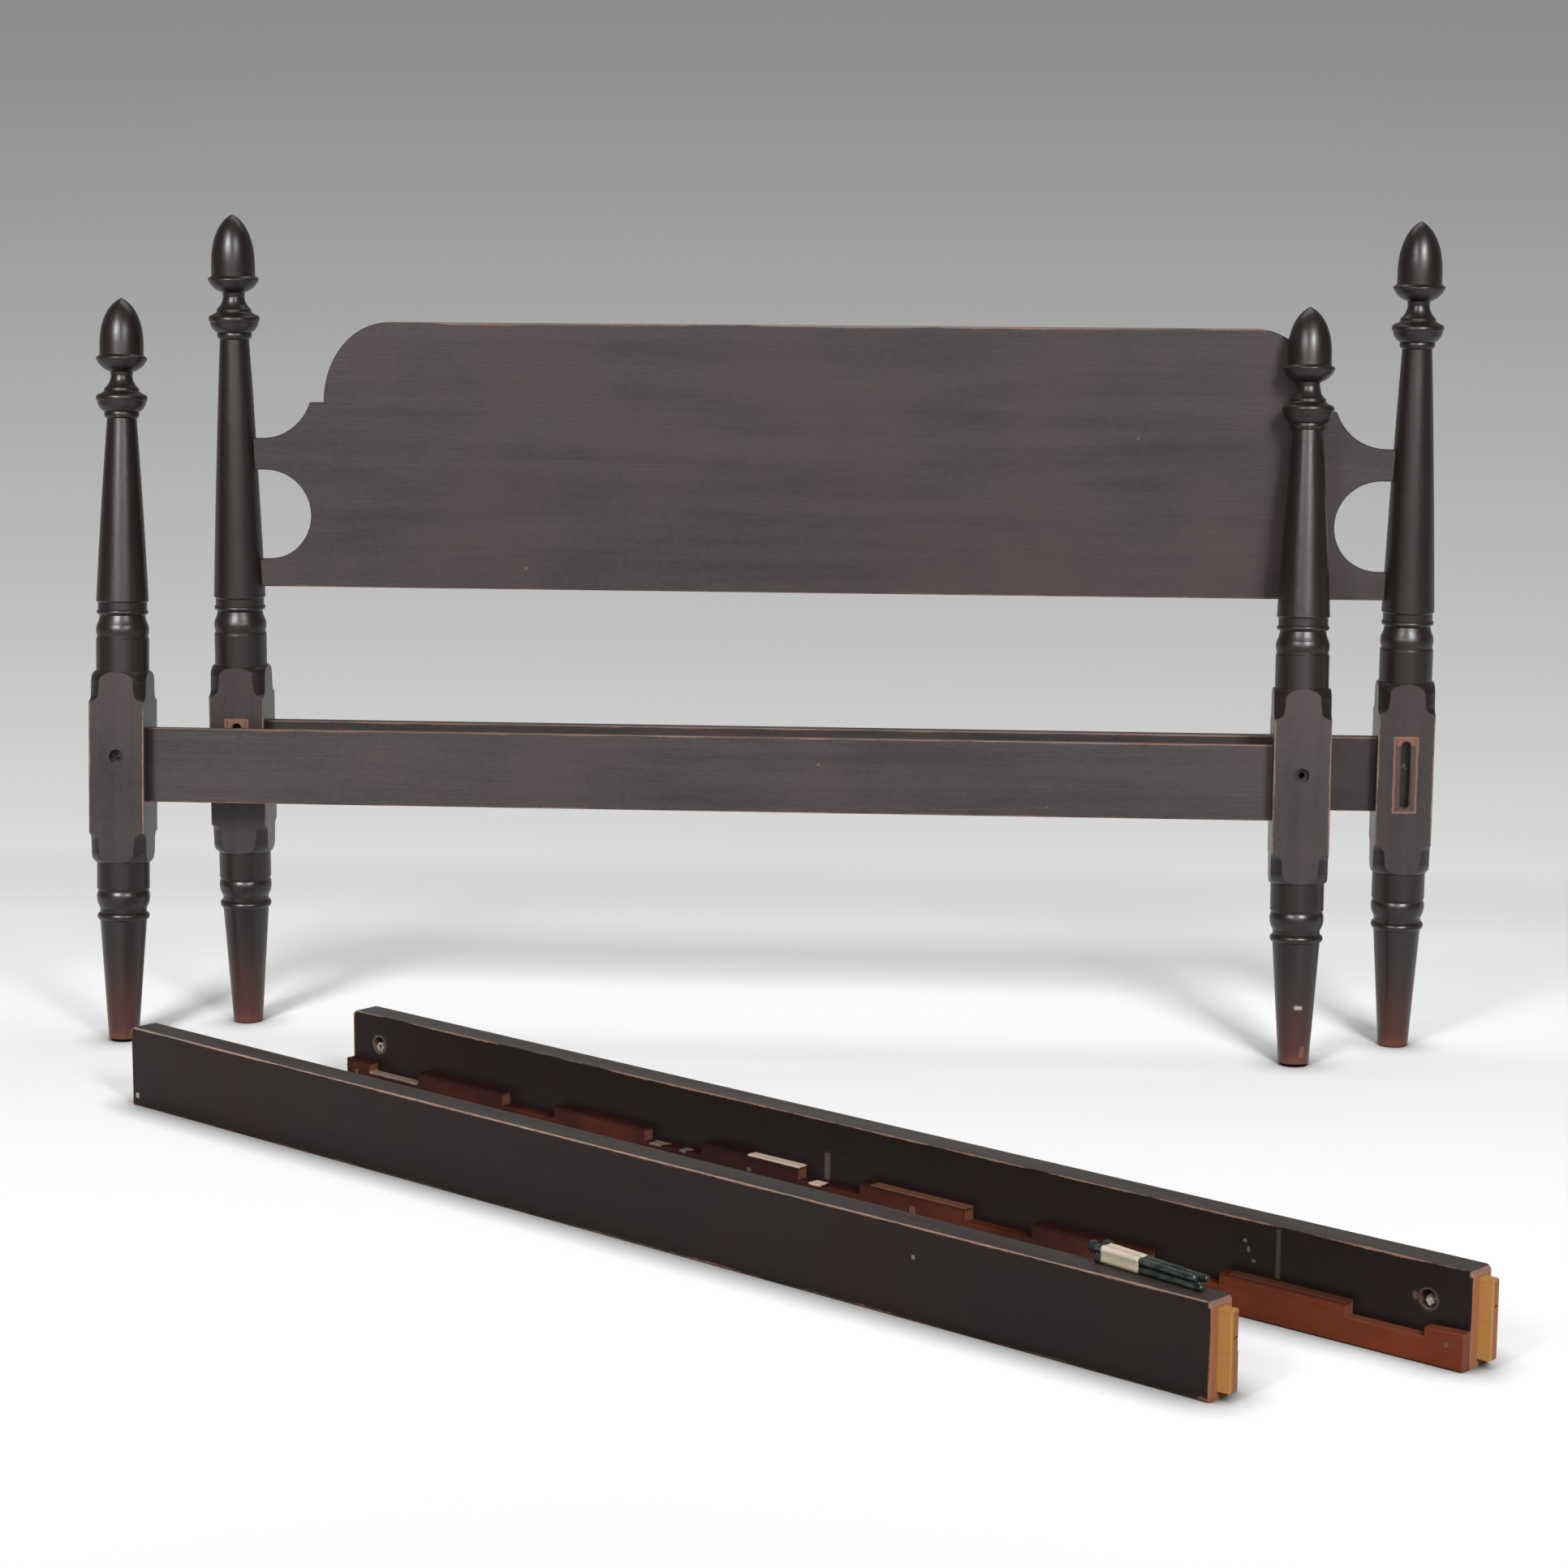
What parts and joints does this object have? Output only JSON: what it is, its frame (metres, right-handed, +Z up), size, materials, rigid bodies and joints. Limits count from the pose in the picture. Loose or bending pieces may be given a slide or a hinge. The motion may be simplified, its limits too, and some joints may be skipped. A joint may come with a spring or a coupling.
{
  "type": "four-poster bed",
  "caption": "Four-poster bed taken apart: headboard end with turned acorn posts, lower foot end leaning on it, slotted side rails with slat ledgers, and the bolts taped together.",
  "frame": {"origin": "on the floor, in the middle of the space that the laid-out pieces take up", "axes": "+Z up; +Y from the side rails towards the head end, square to the headboard; +X along the headboard, to the right for someone who looks along +Y"},
  "size_m": [2.2774, 1.8984, 1.4035],
  "materials": {
    "dark_stain": "satin dark stain, rubbed through at the edges",
    "ledger_wood": "oiled red-brown softwood",
    "bolt_iron": "dull dark zinc with a greenish cast",
    "nut_steel": "dull grey zinc",
    "screw_steel": "tarnished steel",
    "tape_paper": "creased paper tape"
  },
  "bodies": {
    "head_end": {"head_post_left": "dark_stain", "head_post_right": "dark_stain", "headboard_panel": "dark_stain", "head_rail": "dark_stain"},
    "foot_end": {"foot_post_left": "dark_stain", "foot_post_right": "dark_stain", "foot_rail": "dark_stain"},
    "far_rail": {"side_rail_far": "dark_stain", "slat_ledger_far": "ledger_wood", "ledger_screw_far_1": "screw_steel", "ledger_screw_far_2": "screw_steel", "ledger_screw_far_3": "screw_steel", "ledger_screw_far_4": "screw_steel", "rail_nut_far_left": "nut_steel", "rail_nut_far_right": "nut_steel"},
    "near_rail": {"side_rail_near": "dark_stain", "slat_ledger_near": "ledger_wood", "ledger_screw_near_1": "screw_steel", "ledger_screw_near_2": "screw_steel", "ledger_screw_near_3": "screw_steel", "ledger_screw_near_4": "screw_steel", "rail_nut_near_left": "nut_steel", "rail_nut_near_right": "nut_steel"},
    "bolt_bundle": {"bed_bolt_1": "bolt_iron", "bed_bolt_2": "bolt_iron", "bed_bolt_3": "bolt_iron", "bed_bolt_4": "bolt_iron", "bolt_tape": "tape_paper"}
  },
  "joints": [
    {"name": "foot_end_lift", "type": "slide", "parent": "head_end", "child": "foot_end", "axis": [0, 0, 1], "range_m": [0, 1.45]},
    {"name": "far_rail_lift", "type": "slide", "parent": "head_end", "child": "far_rail", "axis": [0, 0, 1], "range_m": [0, 0.3]},
    {"name": "near_rail_lift", "type": "slide", "parent": "head_end", "child": "near_rail", "axis": [0, 0, 1], "range_m": [0, 0.3]},
    {"name": "bundle_lift", "type": "slide", "parent": "near_rail", "child": "bolt_bundle", "axis": [0, 0, 1], "range_m": [0, 0.15]}
  ]
}
